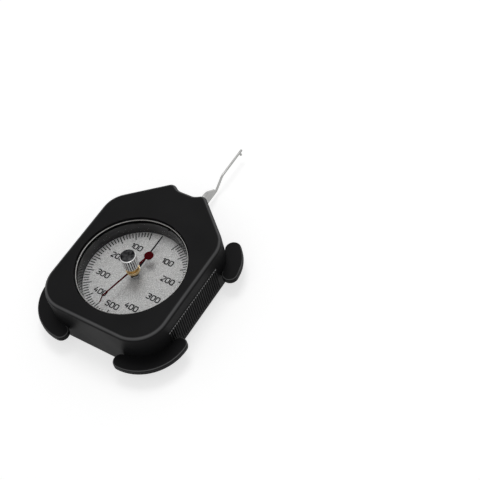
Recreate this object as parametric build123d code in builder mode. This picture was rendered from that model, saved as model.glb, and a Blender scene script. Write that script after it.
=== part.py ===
from build123d import *
import math
import os

os.makedirs("parts", exist_ok=True)

# A hand-held dial tension gauge. A thin lever stands out of the head of a flat case. Pushed
# sideways, it turns a toothed sector, a small pinion and the main pointer against a flat spiral
# spring. A second pointer, reset by the knob over the glass, stays at the highest reading.
# Millimetres. The back of the case lies on z = 0, the dial's axis is the z axis, and the lever
# points along +y.

# Case, seen from the front.
side_margin = 5.5  # from the crystal to the side
foot_margin = 7.4  # from the crystal to the foot
foot_corner_radius = 14.5
shoulder_corner_radius = 13.0
shoulder_angle = 40.4
shoulder_clearance = 1.2  # between the movement's plates and the inside of the shoulders
scoop_half_floor = 4.2
scoop_run = 4.1
scoop_depth = 2.6
scoop_radius = 5.0
horn_radius = 3.0

# Case, from back to front.
wall = 2.0
seam_above_dial = 2.0
face_edge_radius = 2.0
back_edge_radius = 1.2
lip_depth = 1.2
lip_clearance = 0.1

# Finger ears round the four corners, and the ribbed grips between them.
foot_ear_reach = 6.8
shoulder_ear_reach = 7.3
shoulder_ear_start = 3.0
ear_top = 9.5
ear_thickness = 3.0
ear_edge_radius = 0.7
ear_root = 0.8
rib_radius = 0.5
rib_pitch = 1.3
rib_low = 3.0
rib_seam_gap = 0.2
rib_head_margin = 3.3

# Window: crystal, metal ring and the round well down to the dial.
crystal_radius = 25.0
crystal_thickness = 1.5
crystal_clearance = 0.15
crystal_ledge = 0.9
ring_margin = 0.3  # from the crystal's edge in to the ring
ring_width = 0.45
ring_height = 0.4
ring_recess = 1.0
ring_edge_radius = 0.15
well_lean = 0.6  # how far the well's wall leans in on its way down to the dial
well_wall = 1.4
dial_thickness = 0.5
dial_overlap = 2.1
dial_hole_radius = 1.4
dial_foot_radius = 0.75
dial_foot_length = 1.8
dial_foot_spread = 7.0

# Case screws, put in from the back.
screw_radius = 1.0
screw_head_radius = 1.9
screw_head_height = 1.3
screw_slot_width = 0.5
screw_slot_depth = 0.6
thread_clearance = 0.02
hole_clearance = 0.15
case_boss_radius = 2.8
case_boss_bite = 0.3
case_screw_recess = 9.0
case_screw_bite = 3.5
case_screw_end_gap = 0.5

# Movement: two brass plates on four pillars.
plate_thickness = 1.2
plate_margin = 3.5
pad_height = 0.6
pad_radius = 3.4
pillar_radius = 2.0
pillar_spigot_radius = 1.2
pillar_spread_high = 13.0
pillar_spread_low = 9.0
pillar_low = -8.0
plate_screw_spread = 10.5
plate_screw_high = 18.0
plate_screw_bite = 1.8
plate_screw_end_gap = 0.1
pillar_screw_radius = 0.8
pillar_screw_head_radius = 1.6
pillar_screw_length = 4.0
countersink_angle = 90.0

# Gear pair: a 12-tooth pinion driven by a sector of a 120-tooth circle.
tooth_module = 0.5
pinion_teeth = 12
sector_teeth = 120
pressure_angle = 20.0
backlash = 0.1
pinion_addendum = 0.5
sector_addendum = 0.35
root_clearance = 0.15
sector_lift = 0.2
sector_thickness = 0.8
sector_side_teeth = 8
sector_edge_share = 0.4
sector_rim = 3.2
sector_hub_radius = 2.8
sector_hub_rise = 0.2
window_half_angle = 17.0
window_inner_radius = 9.0
pinion_overhang = 0.4
lever_swing = 18.0

# Bearings.
bush_radius = 1.8
bush_flange_radius = 2.4
bush_flange_height = 0.4
end_play = 0.3
bearing_clearance = 0.03
pinion_arbor_radius = 0.8
pinion_pivot_radius = 0.5
lever_arbor_radius = 1.2
lever_pivot_radius = 0.7
pivot_recess = 0.1

# Springs, flat spirals of half circles.
hairspring_collet_radius = 1.6
hairspring_strip = 0.25
hairspring_pitch = 0.75
hairspring_turns = 5
hairspring_height = 0.6
hairspring_rise = 1.4
hairspring_collet_margin = 0.3
measuring_collet_radius = 2.0
measuring_strip = 0.5
measuring_pitch = 1.1
measuring_turns = 4
measuring_height = 1.1
measuring_gap = 0.15
measuring_headroom = 0.45
hairspring_stud_radius = 0.45
measuring_stud_radius = 0.65
stud_stem_radius = 0.4
stop_pin_radius = 0.8
stop_pin_reach = 18.0
stop_clearance = 0.05
stop_overhang = 0.3

# Lever: steel arm with an upright blade, and the round measuring wire soldered along under it.
hub_radius = 2.6
hub_rise = 0.8
arm_width = 2.0
arm_height = 3.6
arm_lift = 0.4
slot_clearance = 0.8
blade_width = 1.3
blade_gap = 5.6  # from the case to the blade
blade_slope = 2.4
blade_crest = 2.0
blade_bow = 3.7
blade_bow_drop = 1.1
blade_slant = 4.5
blade_rise = 0.4
blade_seat = 0.5  # from the wire's axis up to the blade's lower edge
blade_nose_height = 1.5
wire_radius = 0.55
wire_drop = 2.3
wire_step = 4.0
wire_bury = 1.2
wire_lead = 0.4
wire_rise_run = 6.6
wire_tip_run = 17.3
wire_bend_radius = 4.0
tip_pin_back = 1.3
tip_pin_radius = 0.4
tip_pin_drop = 1.5
tip_pin_ball_radius = 0.6

# Pointers, knob and the bush in the crystal.
main_pointer_rise = 2.0
main_pointer_thickness = 0.3
main_pointer_gap = 1.6
main_pointer_root_width = 0.9
main_pointer_tip_width = 0.45
main_pointer_tail = 2.4
pointer_boss_radius = 1.9
pointer_boss_lift = 0.4
stem_above_pointer = 0.9
pointers_apart = 1.2
peak_thickness = 0.3
peak_gap = 3.6
peak_tip_length = 2.4
peak_end_play = 0.2
peak_tip_drop = 2.4
peak_root_width = 0.8
peak_tip_width = 0.45
peak_tail = 9.3
peak_tail_width = 0.9
peak_disc_radius = 2.1
peak_angle = 166.3  # turned to the left from the zero mark
brass_hub_radius = 3.1
brass_hub_height = 0.6
brass_neck_radius = 1.6
brass_washer_height = 0.3
brass_edge_radius = 0.15
spindle_radius = 0.8
crystal_bush_radius = 1.8
crystal_bush_flange_radius = 3.0
crystal_bush_flange_height = 0.5
crystal_bush_lip_radius = 2.2
crystal_bush_lip_height = 0.3
friction_washer_radius = 2.7
friction_washer_height = 0.4
knob_radius = 3.45
knob_height = 6.7
knob_gap = 0.1
knob_dome = 0.12
knob_rim_height = 0.7
knob_chamfer = 0.3
knob_socket_depth = 4.0
knurl_count = 20
knurl_width = 0.7

# Levels, from the back of the case up through the movement to its face.
plate_low = wall + pad_height
plate_low_top = plate_low + plate_thickness
lower_shoulder = plate_low_top + bush_flange_height + end_play
hub_low = plate_low_top + hub_rise
arm_low = hub_low + arm_lift
arm_high = arm_low + arm_height
hub_high = arm_high + arm_lift
sector_low = hub_high + sector_lift
sector_high = sector_low + sector_thickness
sector_hub_high = sector_high + sector_hub_rise
measuring_low = sector_hub_high + measuring_gap
top_plate_low = measuring_low + measuring_height + measuring_headroom + bush_flange_height
upper_shoulder = top_plate_low - bush_flange_height - end_play
top_plate_high = top_plate_low + plate_thickness
dial_low = top_plate_high
dial_top = dial_low + dial_thickness
seam = dial_top + seam_above_dial
pointer_low = dial_top + main_pointer_rise
pointer_high = pointer_low + main_pointer_thickness
stem_high = pointer_high + stem_above_pointer
hub_bottom = stem_high + pointers_apart
peak_low = hub_bottom + brass_hub_height
peak_high = peak_low + peak_thickness
crystal_low = peak_high + brass_washer_height + peak_end_play + crystal_bush_lip_height
ring_low = crystal_low + crystal_thickness
case_depth = ring_low + ring_height + ring_recess
face_inner = case_depth - wall
flange_high = ring_low + crystal_bush_flange_height
knob_low = flange_high + knob_gap + friction_washer_height

# Axes of the gear train.
pinion_pitch_radius = tooth_module * pinion_teeth / 2
sector_pitch_radius = tooth_module * sector_teeth / 2
pivot_y = pinion_pitch_radius + sector_pitch_radius
sector_side_angle = 360 / sector_teeth * (sector_side_teeth + sector_edge_share)
cut_overrun = 1.0

# Radii round the window.
pocket_radius = crystal_radius + crystal_clearance
ring_radius = crystal_radius - ring_margin
well_top_radius = crystal_radius - crystal_ledge
well_radius = well_top_radius - well_lean
well_outer_radius = pocket_radius + well_wall
main_pointer_reach = well_radius - main_pointer_gap
peak_reach = well_radius - peak_gap
peak_kink = peak_reach - peak_tip_length

# Where the plates stand on their pillars and are screwed to the case.
pillar_places = [
    (pillar_spread_high, pivot_y),
    (-pillar_spread_high, pivot_y),
    (-pillar_spread_low, pillar_low),
    (pillar_spread_low, pillar_low),
]
plate_screw_places = [
    (plate_screw_spread, plate_screw_high),
    (-plate_screw_spread, plate_screw_high),
    (0, pillar_low),
]

# Outline of the case. The sides and foot follow the window, and the shoulders the movement.
case_half_width = crystal_radius + side_margin
case_foot = -crystal_radius - foot_margin
shoulder_normal = Vector(0, 1).rotate(Axis.Z, -shoulder_angle)
upper_pillar = Vector(pillar_spread_high, pivot_y)
shoulder_distance = upper_pillar.dot(shoulder_normal) + plate_margin + shoulder_clearance + wall
horn_half_gap = scoop_half_floor + scoop_run


def shoulder(x, inset=0):
    """Height of the shoulder line, or of one drawn in by an inset, at x to the right of the middle."""
    return (shoulder_distance - inset - x * shoulder_normal.X) / shoulder_normal.Y


scoop_floor = shoulder(horn_half_gap) - scoop_depth

# Corner centres of the outline, which the ears and the screw bosses share.
foot_corner = Vector(case_half_width - foot_corner_radius, case_foot + foot_corner_radius)
shoulder_corner_x = case_half_width - shoulder_corner_radius
shoulder_corner = Vector(shoulder_corner_x, shoulder(shoulder_corner_x, shoulder_corner_radius))


def boss_place(corner, radius):
    """Centre of a screw boss that bites a little into the inside of a rounded corner."""
    reach = radius - wall - case_boss_radius + case_boss_bite
    towards = math.copysign(math.sin(math.radians(45)), corner.Y)
    return (corner.X + reach * math.cos(math.radians(45)), corner.Y + reach * towards)


boss_high = boss_place(shoulder_corner, shoulder_corner_radius)
boss_foot = boss_place(foot_corner, foot_corner_radius)
case_screw_places = [
    boss_high,
    (-boss_high[0], boss_high[1]),
    (-boss_foot[0], boss_foot[1]),
    boss_foot,
]


def case_face(inset):
    """The case's outline as a flat face, drawn in by an inset."""
    right = [
        (case_half_width, case_foot),
        (case_half_width, shoulder(case_half_width)),
        (horn_half_gap, shoulder(horn_half_gap)),
        (scoop_half_floor, scoop_floor),
    ]
    left = [(-x, y) for x, y in reversed(right)]
    rounds = [foot_corner_radius, shoulder_corner_radius, horn_radius, scoop_radius]
    with BuildSketch(mode=Mode.PRIVATE) as outline:
        with BuildLine():
            FilletPolyline(*right, *left, radius=rounds + rounds[::-1], close=True)
        make_face()
        if inset > 0:
            offset(amount=-inset, kind=Kind.ARC, mode=Mode.REPLACE)
    return outline.sketch


case_outline = case_face(0)
case_inside = case_face(wall)
rebate_outline = case_face(wall / 2)
tongue_outline = case_face(wall / 2 + lip_clearance)


def corner_ear(corner, radius, reach, start, end):
    """A finger ear of one reach round a corner, between two angles from the x axis."""
    middle = radius + reach / 2

    def outside_middle(edge):
        centre = edge.center()
        return math.hypot(centre.X - corner.X, centre.Y - corner.Y) > middle

    with BuildPart() as ear:
        with BuildSketch(Plane.XY.offset(ear_top - ear_thickness)):
            with Locations(corner):
                with BuildLine():
                    CenterArc(corner, radius + reach, start, end - start)
                    CenterArc(corner, radius - ear_root, start, end - start)
                    for angle in (start, end):
                        PolarLine(
                            corner + Vector(radius - ear_root, 0).rotate(Axis.Z, angle),
                            reach + ear_root,
                            angle,
                        )
                make_face()
            for angle in (start, end):
                with Locations(corner + Vector(middle, 0).rotate(Axis.Z, angle)):
                    Circle(reach / 2)
        extrude(amount=ear_thickness)
        rims = ear.faces().filter_by(Axis.Z).edges()
        fillet(rims.filter_by(outside_middle), radius=ear_edge_radius)
    return ear.part


# Front half of the case: face, window well, screw bosses and the lip that locates the halves.
with BuildPart() as front_housing:
    with BuildSketch(Plane.XY.offset(seam)):
        add(case_outline)
    extrude(amount=case_depth - seam)
    fillet(front_housing.faces().sort_by(Axis.Z)[-1].edges(), radius=face_edge_radius)
    with BuildSketch(Plane.XY.offset(seam)):
        add(case_inside)
    extrude(amount=face_inner - seam, mode=Mode.SUBTRACT)
    with BuildSketch(Plane.XY.offset(seam - lip_depth)):
        add(tongue_outline)
        add(case_inside, mode=Mode.SUBTRACT)
    extrude(amount=lip_depth + cut_overrun)
    with BuildSketch(Plane.XY.offset(dial_top)):
        Circle(well_outer_radius)
    extrude(amount=face_inner - dial_top)
    with BuildSketch(Plane.XY.offset(seam)):
        with Locations(*case_screw_places):
            Circle(case_boss_radius)
    extrude(amount=face_inner - seam)
    with BuildSketch(Plane.XY.offset(seam)):
        with Locations(*case_screw_places):
            Circle(screw_radius + thread_clearance)
    extrude(amount=case_screw_bite + case_screw_end_gap, mode=Mode.SUBTRACT)
    with BuildSketch(Plane.XY.offset(dial_top)):
        Circle(well_radius)
    with BuildSketch(Plane.XY.offset(crystal_low)):
        Circle(well_top_radius)
    loft(mode=Mode.SUBTRACT)
    with BuildSketch(Plane.XY.offset(crystal_low)):
        Circle(pocket_radius)
    extrude(amount=case_depth - crystal_low, mode=Mode.SUBTRACT)
front_housing.part.label = "front_housing"
export_step(front_housing.part, "parts/front_housing.step")

# The four ears: two round the right-hand corners, and their mirror images.
shoulder_ear_end = 90 - shoulder_angle
right_ears = [
    corner_ear(foot_corner, foot_corner_radius, foot_ear_reach, 0, -90),
    corner_ear(
        shoulder_corner,
        shoulder_corner_radius,
        shoulder_ear_reach,
        shoulder_ear_start,
        shoulder_ear_end,
    ),
]
ears = right_ears + [mirror(ear, about=Plane.YZ) for ear in right_ears]

# Grip ribs fill the straight part of each side, and the slot lets the arm swing.
rib_room = shoulder_corner.Y - rib_head_margin - foot_corner.Y
rib_count = int(rib_room / rib_pitch) + 1
rib_middle = foot_corner.Y + (rib_count - 1) * rib_pitch / 2
rib_high = seam - rib_seam_gap
swing = math.radians(lever_swing)
slot_reach = (scoop_floor - pivot_y) * math.tan(swing) + arm_width / 2 / math.cos(swing)
slot_half_width = slot_reach + slot_clearance

# Rear half of the case: back, side walls, finger ears, grip ribs, lever slot and movement pads.
with BuildPart() as rear_housing:
    with BuildSketch():
        add(case_outline)
    extrude(amount=seam)
    fillet(rear_housing.faces().sort_by(Axis.Z)[0].edges(), radius=back_edge_radius)
    add(ears)
    with BuildSketch(Plane.XY.offset(rib_low)):
        with Locations((case_half_width, rib_middle), (-case_half_width, rib_middle)):
            with GridLocations(0, rib_pitch, 1, rib_count):
                Circle(rib_radius)
    extrude(amount=rib_high - rib_low)
    with BuildSketch(Plane.XY.offset(wall)):
        add(case_inside)
    extrude(amount=seam - wall, mode=Mode.SUBTRACT)
    with BuildSketch(Plane.XY.offset(wall)):
        with Locations(*case_screw_places):
            Circle(case_boss_radius)
    extrude(amount=seam - wall)
    with BuildSketch(Plane.XY.offset(seam - lip_depth - lip_clearance)):
        add(rebate_outline)
        add(case_inside, mode=Mode.SUBTRACT)
    extrude(amount=lip_depth + lip_clearance, mode=Mode.SUBTRACT)
    with BuildSketch():
        with Locations(*case_screw_places):
            Circle(screw_radius + hole_clearance)
    extrude(amount=seam, mode=Mode.SUBTRACT)
    with BuildSketch():
        with Locations(*case_screw_places):
            Circle(screw_head_radius + hole_clearance)
    extrude(amount=case_screw_recess, mode=Mode.SUBTRACT)
    with BuildSketch(Plane.XY.offset(wall)):
        with Locations(*plate_screw_places):
            Circle(pad_radius)
    extrude(amount=pad_height)
    pad_hole_depth = plate_screw_bite + plate_screw_end_gap
    with BuildSketch(Plane.XY.offset(plate_low - pad_hole_depth)):
        with Locations(*plate_screw_places):
            Circle(screw_radius + thread_clearance)
    extrude(amount=pad_hole_depth, mode=Mode.SUBTRACT)
    with BuildSketch(Plane.XY.offset(arm_low - slot_clearance)):
        with Locations((0, scoop_floor)):
            Rectangle(slot_half_width * 2, (wall + horn_radius) * 2)
    extrude(amount=arm_height + slot_clearance * 2, mode=Mode.SUBTRACT)
rear_housing.part.label = "rear_housing"
export_step(rear_housing.part, "parts/rear_housing.step")

# Four slotted screws in deep holes hold the two halves of the case together.
with BuildPart() as case_screws:
    with BuildSketch(Plane.XY.offset(case_screw_recess - screw_head_height)):
        with Locations(*case_screw_places):
            Circle(screw_head_radius)
    extrude(amount=screw_head_height)
    with BuildSketch(Plane.XY.offset(case_screw_recess)):
        with Locations(*case_screw_places):
            Circle(screw_radius)
    extrude(amount=seam + case_screw_bite - case_screw_recess)
    with BuildSketch(Plane.XY.offset(case_screw_recess - screw_head_height)):
        with Locations(*case_screw_places):
            Rectangle(screw_head_radius * 2 + cut_overrun, screw_slot_width)
    extrude(amount=screw_slot_depth, mode=Mode.SUBTRACT)
case_screws.part.label = "case_screws"
export_step(case_screws.part, "parts/case_screws.step")

# Thin bright metal ring that holds the crystal down, a little in from its edge.
with BuildPart() as bezel_ring:
    with BuildSketch(Plane.XY.offset(ring_low)):
        Circle(ring_radius)
        Circle(ring_radius - ring_width, mode=Mode.SUBTRACT)
    extrude(amount=ring_height)
    fillet(bezel_ring.faces().sort_by(Axis.Z)[-1].edges(), radius=ring_edge_radius)
bezel_ring.part.label = "bezel_ring"
export_step(bezel_ring.part, "parts/bezel_ring.step")

# Clear crystal on the ledge of the well, bored for the knob's bush.
with BuildPart() as crystal:
    with BuildSketch(Plane.XY.offset(crystal_low)):
        Circle(crystal_radius)
        Circle(crystal_bush_radius, mode=Mode.SUBTRACT)
    extrude(amount=crystal_thickness)
crystal.part.label = "crystal"
export_step(crystal.part, "parts/crystal.step")

# Brass bush riveted into the crystal, where the knob's spindle turns.
with BuildPart() as crystal_bush:
    with BuildSketch(Plane.XY.offset(crystal_low - crystal_bush_lip_height)):
        Circle(crystal_bush_lip_radius)
    extrude(amount=crystal_bush_lip_height)
    with BuildSketch(Plane.XY.offset(crystal_low)):
        Circle(crystal_bush_radius)
    extrude(amount=crystal_thickness)
    with BuildSketch(Plane.XY.offset(ring_low)):
        Circle(crystal_bush_flange_radius)
    extrude(amount=crystal_bush_flange_height)
    with BuildSketch(Plane.XY.offset(crystal_low - crystal_bush_lip_height)):
        Circle(spindle_radius + bearing_clearance)
    extrude(
        amount=crystal_bush_lip_height + crystal_thickness + crystal_bush_flange_height,
        mode=Mode.SUBTRACT,
    )
crystal_bush.part.label = "crystal_bush"
export_step(crystal_bush.part, "parts/crystal_bush.step")

# Dial plate under the well's rim, with two feet in the top plate of the movement.
with BuildPart() as dial_plate:
    with BuildSketch(Plane.XY.offset(dial_low)):
        Circle(well_radius + dial_overlap)
        Circle(dial_hole_radius, mode=Mode.SUBTRACT)
    extrude(amount=dial_thickness)
    with BuildSketch(Plane.XY.offset(dial_low - dial_foot_length)):
        with Locations((dial_foot_spread, 0), (-dial_foot_spread, 0)):
            Circle(dial_foot_radius)
    extrude(amount=dial_foot_length)
dial_plate.part.label = "dial_plate"
export_step(dial_plate.part, "parts/dial_plate.step")


def plate_face():
    """Outline of a movement plate: the pillars' four-sided figure with a round margin."""
    with BuildSketch(mode=Mode.PRIVATE) as outline:
        Polygon(*pillar_places, align=None)
        offset(amount=plate_margin, kind=Kind.ARC, mode=Mode.REPLACE)
        with Locations((0, 0), (0, pivot_y)):
            Circle(bush_radius, mode=Mode.SUBTRACT)
    return outline.sketch


plate_outline = plate_face()

# Where the two springs end on their studs.
hairspring_end = hairspring_collet_radius + hairspring_strip / 2 + hairspring_turns * hairspring_pitch
measuring_end = measuring_collet_radius + measuring_strip / 2 + measuring_turns * measuring_pitch

# Bottom plate of the movement, screwed to the pads in the rear half of the case.
with BuildPart() as bottom_plate:
    with BuildSketch(Plane.XY.offset(plate_low)):
        add(plate_outline)
        with Locations(*pillar_places):
            Circle(pillar_spigot_radius, mode=Mode.SUBTRACT)
        with Locations(*plate_screw_places):
            Circle(screw_radius + hole_clearance, mode=Mode.SUBTRACT)
        with Locations((hairspring_end, 0)):
            Circle(stud_stem_radius, mode=Mode.SUBTRACT)
    extrude(amount=plate_thickness)
bottom_plate.part.label = "bottom_plate"
export_step(bottom_plate.part, "parts/bottom_plate.step")

# Where the sector meets its stops.
stop_offset = math.degrees(math.asin((stop_pin_radius + stop_clearance) / stop_pin_reach))
stop_angle = math.radians(sector_side_angle + lever_swing + stop_offset)
stop_x = stop_pin_reach * math.sin(stop_angle)
stop_y = pivot_y - stop_pin_reach * math.cos(stop_angle)
stop_places = [(stop_x, stop_y), (-stop_x, stop_y)]

# Top plate of the movement, which also carries the dial.
with BuildPart() as top_plate:
    with BuildSketch(Plane.XY.offset(top_plate_low)):
        add(plate_outline)
        with Locations((dial_foot_spread, 0), (-dial_foot_spread, 0)):
            Circle(dial_foot_radius, mode=Mode.SUBTRACT)
        with Locations(*stop_places):
            Circle(stop_pin_radius, mode=Mode.SUBTRACT)
        with Locations((measuring_end, pivot_y)):
            Circle(stud_stem_radius, mode=Mode.SUBTRACT)
    extrude(amount=plate_thickness)
    with Locations(*[(x, y, top_plate_high) for x, y in pillar_places]):
        CounterSinkHole(
            pillar_screw_radius + hole_clearance,
            pillar_screw_head_radius,
            counter_sink_angle=countersink_angle,
        )
top_plate.part.label = "top_plate"
export_step(top_plate.part, "parts/top_plate.step")

# Four pillars riveted into the bottom plate.
with BuildPart() as pillars:
    with BuildSketch(Plane.XY.offset(plate_low)):
        with Locations(*pillar_places):
            Circle(pillar_spigot_radius)
    extrude(amount=plate_thickness)
    with BuildSketch(Plane.XY.offset(plate_low_top)):
        with Locations(*pillar_places):
            Circle(pillar_radius)
    extrude(amount=top_plate_low - plate_low_top)
    with BuildSketch(Plane.XY.offset(top_plate_high - pillar_screw_length)):
        with Locations(*pillar_places):
            Circle(pillar_screw_radius + thread_clearance)
    extrude(amount=pillar_screw_length, mode=Mode.SUBTRACT)
pillars.part.label = "pillars"
export_step(pillars.part, "parts/pillars.step")

# Countersunk screws from the top plate into the pillars, flush under the dial.
head_slope = math.tan(math.radians(countersink_angle / 2))
head_depth = (pillar_screw_head_radius - pillar_screw_radius) / head_slope
with BuildPart() as pillar_screws:
    with BuildSketch(Plane.XY.offset(top_plate_high - pillar_screw_length)):
        with Locations(*pillar_places):
            Circle(pillar_screw_radius)
    extrude(amount=pillar_screw_length)
    with BuildSketch(Plane.XY.offset(top_plate_high)):
        with Locations(*pillar_places):
            Circle(pillar_screw_head_radius)
    extrude(amount=-head_depth, taper=countersink_angle / 2)
    with BuildSketch(Plane.XY.offset(top_plate_high)):
        with Locations(*pillar_places):
            Rectangle(pillar_screw_head_radius * 2 + cut_overrun, screw_slot_width)
    extrude(amount=-head_depth / 2, mode=Mode.SUBTRACT)
pillar_screws.part.label = "pillar_screws"
export_step(pillar_screws.part, "parts/pillar_screws.step")

# Three screws that fix the bottom plate to the case.
with BuildPart() as plate_screws:
    with BuildSketch(Plane.XY.offset(plate_low_top)):
        with Locations(*plate_screw_places):
            Circle(screw_head_radius)
    extrude(amount=screw_head_height)
    with BuildSketch(Plane.XY.offset(plate_low - plate_screw_bite)):
        with Locations(*plate_screw_places):
            Circle(screw_radius)
    extrude(amount=plate_screw_bite + plate_thickness)
    with BuildSketch(Plane.XY.offset(plate_low_top + screw_head_height)):
        with Locations(*plate_screw_places):
            Rectangle(screw_head_radius * 2 + cut_overrun, screw_slot_width)
    extrude(amount=-screw_slot_depth, mode=Mode.SUBTRACT)
plate_screws.part.label = "plate_screws"
export_step(plate_screws.part, "parts/plate_screws.step")


def bush_pair(place, pivot_radius):
    """Two flanged bushes on one axis, one in each movement plate."""
    levels = [
        (plate_low, plate_low_top, bush_flange_height),
        (top_plate_high, top_plate_low, -bush_flange_height),
    ]
    with BuildPart() as pair:
        for outer, inner, flange in levels:
            with BuildSketch(Plane.XY.offset(outer)):
                with Locations(place):
                    Circle(bush_radius)
                    Circle(pivot_radius + bearing_clearance, mode=Mode.SUBTRACT)
            extrude(amount=inner - outer)
            with BuildSketch(Plane.XY.offset(inner)):
                with Locations(place):
                    Circle(bush_flange_radius)
                    Circle(pivot_radius + bearing_clearance, mode=Mode.SUBTRACT)
            extrude(amount=flange)
    return pair


pinion_bushes = bush_pair((0, 0), pinion_pivot_radius)
pinion_bushes.part.label = "pinion_bushes"
export_step(pinion_bushes.part, "parts/pinion_bushes.step")

lever_bushes = bush_pair((0, pivot_y), lever_pivot_radius)
lever_bushes.part.label = "lever_bushes"
export_step(lever_bushes.part, "parts/lever_bushes.step")

# Two pins under the top plate stop the sector at either end of its swing.
with BuildPart() as stop_pins:
    with BuildSketch(Plane.XY.offset(sector_low - stop_overhang)):
        with Locations(*stop_places):
            Circle(stop_pin_radius)
    extrude(amount=top_plate_high - sector_low + stop_overhang)
stop_pins.part.label = "stop_pins"
export_step(stop_pins.part, "parts/stop_pins.step")


def spiral(centre, low, height, collet_radius, strip, pitch, turns):
    """A flat spiral strip of half circles, starting on its collet."""
    first = collet_radius + strip / 2
    with BuildPart() as spring:
        with BuildSketch(Plane.XY.offset(low)):
            with BuildLine():
                for half in range(turns * 2):
                    middle = first + half * pitch / 2
                    shift = pitch / 2 if half % 2 else 0
                    place = (centre[0] + shift, centre[1])
                    CenterArc(place, middle - strip / 2, half * 180, 180)
                    CenterArc(place, middle + strip / 2, half * 180, 180)
                for end in (first, first + turns * pitch):
                    Line(
                        (centre[0] + end - strip / 2, centre[1]),
                        (centre[0] + end + strip / 2, centre[1]),
                    )
            make_face()
        extrude(amount=height)
    return spring


# Hairspring that takes up the gear play, with its collet and its stud.
hairspring_low = plate_low_top + hairspring_rise
hairspring = spiral(
    (0, 0),
    hairspring_low,
    hairspring_height,
    hairspring_collet_radius,
    hairspring_strip,
    hairspring_pitch,
    hairspring_turns,
)
hairspring.part.label = "hairspring"
export_step(hairspring.part, "parts/hairspring.step")

with BuildPart() as hairspring_collet:
    with BuildSketch(Plane.XY.offset(hairspring_low - hairspring_collet_margin)):
        Circle(hairspring_collet_radius)
        Circle(pinion_arbor_radius, mode=Mode.SUBTRACT)
    extrude(amount=hairspring_height + hairspring_collet_margin * 2)
hairspring_collet.part.label = "hairspring_collet"
export_step(hairspring_collet.part, "parts/hairspring_collet.step")

with BuildPart() as hairspring_stud:
    with BuildSketch(Plane.XY.offset(plate_low)):
        with Locations((hairspring_end, 0)):
            Circle(stud_stem_radius)
    extrude(amount=plate_thickness)
    with BuildSketch(Plane.XY.offset(plate_low_top)):
        with Locations((hairspring_end, 0)):
            Circle(hairspring_stud_radius)
    extrude(amount=hairspring_rise + hairspring_height + hairspring_collet_margin)
    add(hairspring.part, mode=Mode.SUBTRACT)
hairspring_stud.part.label = "hairspring_stud"
export_step(hairspring_stud.part, "parts/hairspring_stud.step")

# Measuring spring round the lever's arbor, with its collet and its stud.
measuring_spring = spiral(
    (0, pivot_y),
    measuring_low,
    measuring_height,
    measuring_collet_radius,
    measuring_strip,
    measuring_pitch,
    measuring_turns,
)
measuring_spring.part.label = "measuring_spring"
export_step(measuring_spring.part, "parts/measuring_spring.step")

with BuildPart() as spring_collet:
    with BuildSketch(Plane.XY.offset(sector_hub_high)):
        with Locations((0, pivot_y)):
            Circle(measuring_collet_radius)
            Circle(lever_arbor_radius, mode=Mode.SUBTRACT)
    extrude(amount=measuring_height + measuring_gap)
spring_collet.part.label = "spring_collet"
export_step(spring_collet.part, "parts/spring_collet.step")

with BuildPart() as spring_stud:
    with BuildSketch(Plane.XY.offset(top_plate_low)):
        with Locations((measuring_end, pivot_y)):
            Circle(stud_stem_radius)
    extrude(amount=plate_thickness)
    with BuildSketch(Plane.XY.offset(measuring_low)):
        with Locations((measuring_end, pivot_y)):
            Circle(measuring_stud_radius)
    extrude(amount=top_plate_low - measuring_low)
    add(measuring_spring.part, mode=Mode.SUBTRACT)
spring_stud.part.label = "spring_stud"
export_step(spring_stud.part, "parts/spring_stud.step")


def stepped_arbor(place, body_radius, pivot_radius, top):
    """A turned arbor: thick body between its shoulders, thin pivots above and below."""
    with BuildPart() as arbor:
        with BuildSketch(Plane.XY.offset(plate_low + pivot_recess)):
            with Locations(place):
                Circle(pivot_radius)
        extrude(amount=top - plate_low - pivot_recess)
        with BuildSketch(Plane.XY.offset(lower_shoulder)):
            with Locations(place):
                Circle(body_radius)
        extrude(amount=upper_shoulder - lower_shoulder)
    return arbor


# Arbor of the main pointer, which runs up through the dial.
pointer_arbor = stepped_arbor((0, 0), pinion_arbor_radius, pinion_pivot_radius, stem_high)
pointer_arbor.part.label = "pointer_arbor"
export_step(pointer_arbor.part, "parts/pointer_arbor.step")

# Arbor of the lever.
lever_arbor = stepped_arbor(
    (0, pivot_y), lever_arbor_radius, lever_pivot_radius, top_plate_high - pivot_recess
)
lever_arbor.part.label = "lever_arbor"
export_step(lever_arbor.part, "parts/lever_arbor.step")


def involute(angle):
    """The involute function of an angle in radians."""
    return math.tan(angle) - angle


def tooth_outline(pitch_radius, addendum, dedendum):
    """Half width angles of one tooth at rising radii, root first."""
    base_radius = pitch_radius * math.cos(math.radians(pressure_angle))
    at_pitch = (math.pi * tooth_module - backlash) / 4 / pitch_radius
    root = pitch_radius - dedendum
    tip = pitch_radius + addendum
    flank_start = max(root, base_radius)
    steps = 4
    radii = [flank_start + (tip - flank_start) * step / steps for step in range(steps + 1)]
    shape = []
    for radius in radii:
        roll = math.acos(base_radius / radius)
        shape.append((radius, at_pitch + involute(math.radians(pressure_angle)) - involute(roll)))
    if root < base_radius:
        shape.insert(0, (root, shape[0][1]))
    return shape


def toothed_points(centre, shape, places):
    """Outline points of the teeth whose middles stand at the given angles."""
    points = []
    for middle in places:
        right = [(radius, middle - half) for radius, half in shape]
        left = [(radius, middle + half) for radius, half in reversed(shape)]
        for radius, angle in right + left:
            points.append((centre[0] + radius * math.cos(angle), centre[1] + radius * math.sin(angle)))
    return points


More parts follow.
